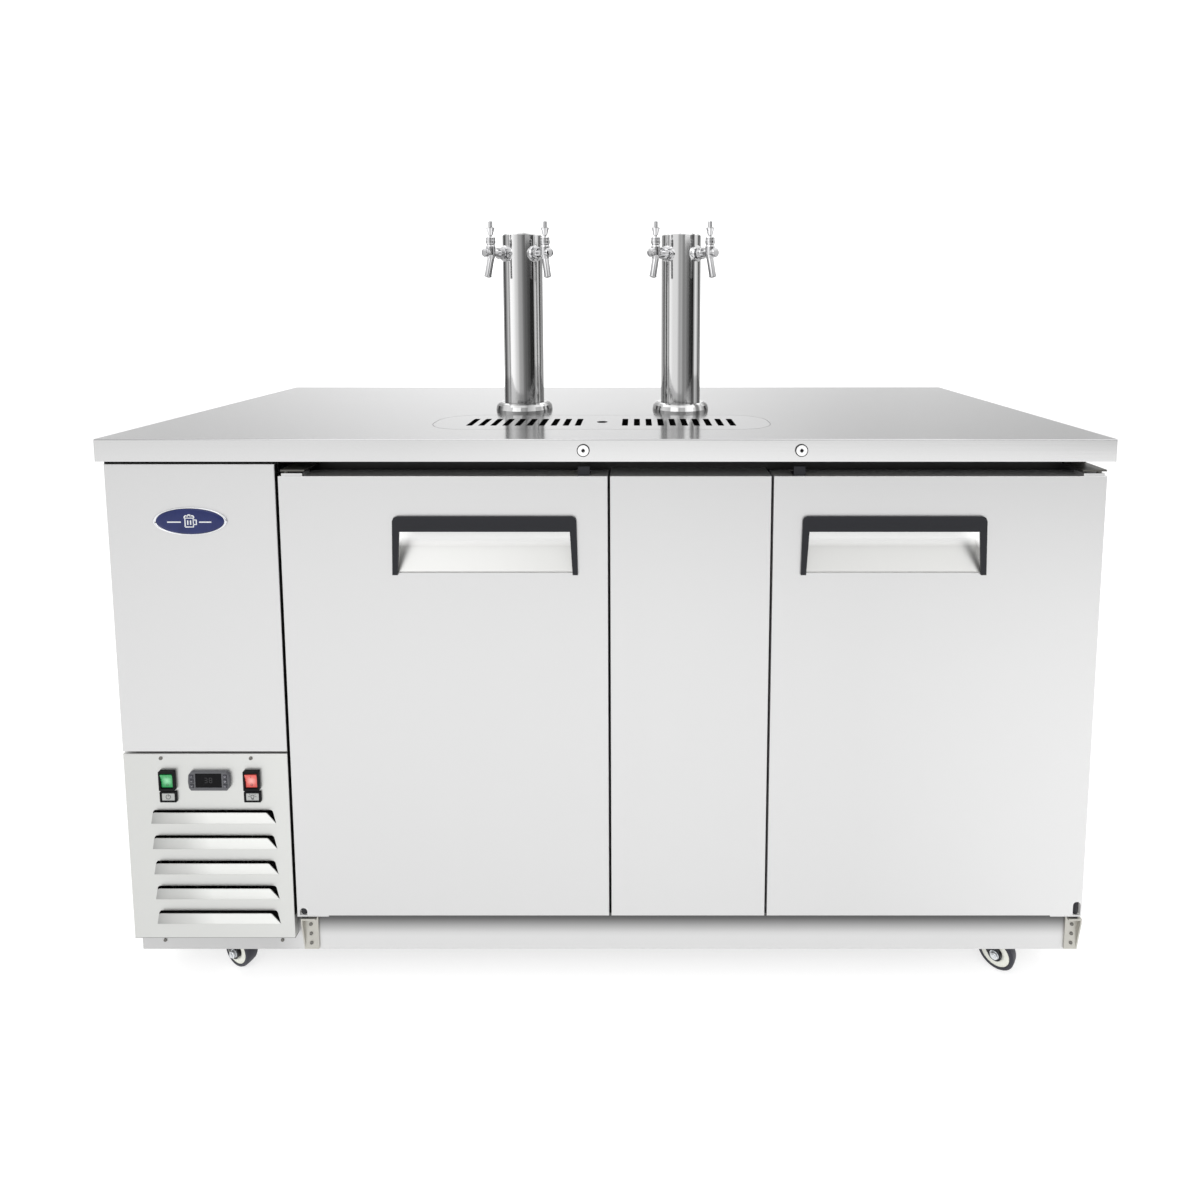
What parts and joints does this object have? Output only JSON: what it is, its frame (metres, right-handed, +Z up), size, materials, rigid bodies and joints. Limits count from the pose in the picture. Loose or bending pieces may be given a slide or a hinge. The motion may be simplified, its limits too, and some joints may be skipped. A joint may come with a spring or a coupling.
{
  "type": "kegerator",
  "caption": "Wide stainless back-bar beer dispenser: hinged keg doors, side refrigeration bay, worktop taps on towers over a drip tray, swivel casters.",
  "frame": {"origin": "on the floor, under the middle of the cabinet's outline", "axes": "+X to the right seen from the front, +Y to the back, +Z up; the doors face -Y"},
  "size_m": [1.745, 0.7165, 1.416],
  "materials": {
    "stainless_skin": "fine brushed stainless steel",
    "stainless_top": "brushed stainless steel worktop",
    "galvanised": "galvanised steel sheet",
    "foam": "rigid polyurethane foam",
    "liner": "stucco aluminium liner",
    "black_frame": "black breaker plastic",
    "bracket_steel": "zinc plated steel",
    "control_plastic": "dark grey plastic",
    "key_plastic": "soft dark plastic",
    "switch_black": "black plastic",
    "rocker_green": "lit green plastic",
    "rocker_red": "lit red plastic",
    "compressor_black": "black enamel",
    "coil": "finned coil",
    "evaporator_shell": "plain aluminium cover",
    "copper": "copper tube",
    "polished_steel": "mirror polished stainless steel",
    "chrome": "bright chrome plating",
    "screw_steel": "darkened steel",
    "zinc_caster": "zinc plated steel",
    "caster_tyre": "dark grey rubber tyre on a pale hub",
    "gasket": "soft magnetic seal",
    "handle_black": "charcoal moulded plastic",
    "door_core": "foam core and white moulded liner",
    "cup_steel": "bright pressed steel",
    "fan_plastic": "black plastic"
  },
  "bodies": {
    "cabinet": {"worktop": "stainless_top", "side_panel_left": "stainless_skin", "side_panel_right": "stainless_skin", "back_panel": "galvanised", "insulation_foam": "foam", "inner_liner": "liner", "front_frame": "black_frame", "centre_panel": "stainless_skin", "base_frame": "stainless_skin", "badge_panel": "stainless_skin", "grille_panel": "stainless_skin", "hinge_brackets": "bracket_steel", "controller_case": "control_plastic", "switch_housings": "switch_black", "compressor": "compressor_black", "condenser": "coil", "evaporator": "evaporator_shell", "refrigerant_pipes": "copper", "drip_tray": "stainless_top", "tower_left": "polished_steel", "tower_right": "polished_steel", "faucet_shanks": "chrome", "faucet_bodies": "chrome", "screws": "screw_steel", "caster_plates": "zinc_caster"},
    "door_left": {"door_left_skin": "stainless_skin", "door_left_core": "door_core", "door_left_gasket": "gasket", "door_left_handle_cup": "cup_steel", "door_left_fittings": "handle_black"},
    "door_right": {"door_right_skin": "stainless_skin", "door_right_core": "door_core", "door_right_gasket": "gasket", "door_right_handle_cup": "cup_steel", "door_right_fittings": "handle_black"},
    "lock_left_body": {"lock_left": "chrome"},
    "lock_right_body": {"lock_right": "chrome"},
    "power_rocker_body": {"power_rocker": "rocker_green"},
    "light_rocker_body": {"light_rocker": "rocker_red"},
    "condenser_fan_body": {"condenser_fan": "fan_plastic"},
    "evaporator_fan_body": {"evaporator_fan": "fan_plastic"},
    "drip_grille_body": {"drip_grille": "stainless_top"},
    "controller_key_1_body": {"controller_key_1": "key_plastic"},
    "controller_key_2_body": {"controller_key_2": "key_plastic"},
    "controller_key_3_body": {"controller_key_3": "key_plastic"},
    "controller_key_4_body": {"controller_key_4": "key_plastic"},
    "controller_key_5_body": {"controller_key_5": "key_plastic"},
    "controller_key_6_body": {"controller_key_6": "key_plastic"},
    "faucet_lever_1_body": {"faucet_lever_1": "chrome"},
    "caster_fork_1_body": {"caster_fork_1": "zinc_caster"},
    "caster_wheel_1_body": {"caster_wheel_1": "caster_tyre"},
    "faucet_lever_2_body": {"faucet_lever_2": "chrome"},
    "caster_fork_2_body": {"caster_fork_2": "zinc_caster"},
    "caster_wheel_2_body": {"caster_wheel_2": "caster_tyre"},
    "faucet_lever_3_body": {"faucet_lever_3": "chrome"},
    "caster_fork_3_body": {"caster_fork_3": "zinc_caster"},
    "caster_wheel_3_body": {"caster_wheel_3": "caster_tyre"},
    "faucet_lever_4_body": {"faucet_lever_4": "chrome"},
    "caster_fork_4_body": {"caster_fork_4": "zinc_caster"},
    "caster_wheel_4_body": {"caster_wheel_4": "caster_tyre"}
  },
  "joints": [
    {"name": "door_left_hinge", "type": "hinge", "parent": "cabinet", "child": "door_left", "pos_m": [-0.553, -0.342, 0.5465], "axis": [0, 0, -1], "range_deg": [0, 110]},
    {"name": "door_right_hinge", "type": "hinge", "parent": "cabinet", "child": "door_right", "pos_m": [0.853, -0.342, 0.5465], "axis": [0, 0, 1], "range_deg": [0, 110]},
    {"name": "lock_left_turn", "type": "hinge", "parent": "cabinet", "child": "lock_left_body", "pos_m": [-0.038, -0.35, 1.0005], "axis": [0, -1, 0], "range_deg": [0, 90]},
    {"name": "lock_right_turn", "type": "hinge", "parent": "cabinet", "child": "lock_right_body", "pos_m": [0.334, -0.35, 1.0005], "axis": [0, 1, 0], "range_deg": [0, 90]},
    {"name": "power_rocker_tilt", "type": "hinge", "parent": "cabinet", "child": "power_rocker_body", "pos_m": [-0.7845, -0.3515, 0.402], "axis": [1, 0, 0], "range_deg": [-16, 0]},
    {"name": "light_rocker_tilt", "type": "hinge", "parent": "cabinet", "child": "light_rocker_body", "pos_m": [-0.634, -0.3515, 0.402], "axis": [1, 0, 0], "range_deg": [-16, 0]},
    {"name": "controller_key_1_press", "type": "slide", "parent": "cabinet", "child": "controller_key_1_body", "axis": [0, 1, 0], "range_m": [0, 0.0008], "stiffness_N_per_m": 200},
    {"name": "controller_key_2_press", "type": "slide", "parent": "cabinet", "child": "controller_key_2_body", "axis": [0, 1, 0], "range_m": [0, 0.0008], "stiffness_N_per_m": 200},
    {"name": "controller_key_3_press", "type": "slide", "parent": "cabinet", "child": "controller_key_3_body", "axis": [0, 1, 0], "range_m": [0, 0.0008], "stiffness_N_per_m": 200},
    {"name": "controller_key_4_press", "type": "slide", "parent": "cabinet", "child": "controller_key_4_body", "axis": [0, 1, 0], "range_m": [0, 0.0008], "stiffness_N_per_m": 200},
    {"name": "controller_key_5_press", "type": "slide", "parent": "cabinet", "child": "controller_key_5_body", "axis": [0, 1, 0], "range_m": [0, 0.0008], "stiffness_N_per_m": 200},
    {"name": "controller_key_6_press", "type": "slide", "parent": "cabinet", "child": "controller_key_6_body", "axis": [0, 1, 0], "range_m": [0, 0.0008], "stiffness_N_per_m": 200},
    {"name": "faucet_lever_1_pull", "type": "hinge", "parent": "cabinet", "child": "faucet_lever_1_body", "pos_m": [-0.24557, -0.08555, 1.375], "axis": [0.7193, -0.6947, 0], "range_deg": [0, 22]},
    {"name": "faucet_lever_2_pull", "type": "hinge", "parent": "cabinet", "child": "faucet_lever_2_body", "pos_m": [-0.13443, -0.08555, 1.375], "axis": [0.7193, 0.6947, 0], "range_deg": [0, 22]},
    {"name": "faucet_lever_3_pull", "type": "hinge", "parent": "cabinet", "child": "faucet_lever_3_body", "pos_m": [0.09143, -0.08555, 1.375], "axis": [0.7193, -0.6947, 0], "range_deg": [0, 22]},
    {"name": "faucet_lever_4_pull", "type": "hinge", "parent": "cabinet", "child": "faucet_lever_4_body", "pos_m": [0.20257, -0.08555, 1.375], "axis": [0.7193, 0.6947, 0], "range_deg": [0, 22]},
    {"name": "caster_1_swivel", "type": "hinge", "parent": "cabinet", "child": "caster_fork_1_body", "pos_m": [-0.718, -0.293, 0.075], "axis": [0, 0, 1], "continuous": true},
    {"name": "caster_1_roll", "type": "hinge", "parent": "caster_fork_1_body", "child": "caster_wheel_1_body", "pos_m": [-0.6979, -0.30195, 0.032], "axis": [0.4067, 0.9135, 0], "continuous": true},
    {"name": "caster_2_swivel", "type": "hinge", "parent": "cabinet", "child": "caster_fork_2_body", "pos_m": [0.718, -0.293, 0.075], "axis": [0, 0, 1], "continuous": true},
    {"name": "caster_2_roll", "type": "hinge", "parent": "caster_fork_2_body", "child": "caster_wheel_2_body", "pos_m": [0.73435, -0.30772, 0.032], "axis": [0.6691, 0.7431, 0], "continuous": true},
    {"name": "caster_3_swivel", "type": "hinge", "parent": "cabinet", "child": "caster_fork_3_body", "pos_m": [-0.718, 0.293, 0.075], "axis": [0, 0, 1], "continuous": true},
    {"name": "caster_3_roll", "type": "hinge", "parent": "caster_fork_3_body", "child": "caster_wheel_3_body", "pos_m": [-0.73705, 0.304, 0.032], "axis": [-0.5, -0.866, 0], "continuous": true},
    {"name": "caster_4_swivel", "type": "hinge", "parent": "cabinet", "child": "caster_fork_4_body", "pos_m": [0.718, 0.293, 0.075], "axis": [0, 0, 1], "continuous": true},
    {"name": "caster_4_roll", "type": "hinge", "parent": "caster_fork_4_body", "child": "caster_wheel_4_body", "pos_m": [0.73602, 0.30562, 0.032], "axis": [-0.5736, 0.8192, 0], "continuous": true},
    {"name": "condenser_fan_spin", "type": "hinge", "parent": "cabinet", "child": "condenser_fan_body", "pos_m": [-0.711, -0.241, 0.262], "axis": [0, 1, 0], "continuous": true},
    {"name": "evaporator_fan_spin", "type": "hinge", "parent": "cabinet", "child": "evaporator_fan_body", "pos_m": [-0.375, -0.003, 0.863], "axis": [0, 1, 0], "continuous": true},
    {"name": "drip_grille_lift", "type": "slide", "parent": "cabinet", "child": "drip_grille_body", "axis": [0, 0, 1], "range_m": [0, 0.03]}
  ]
}
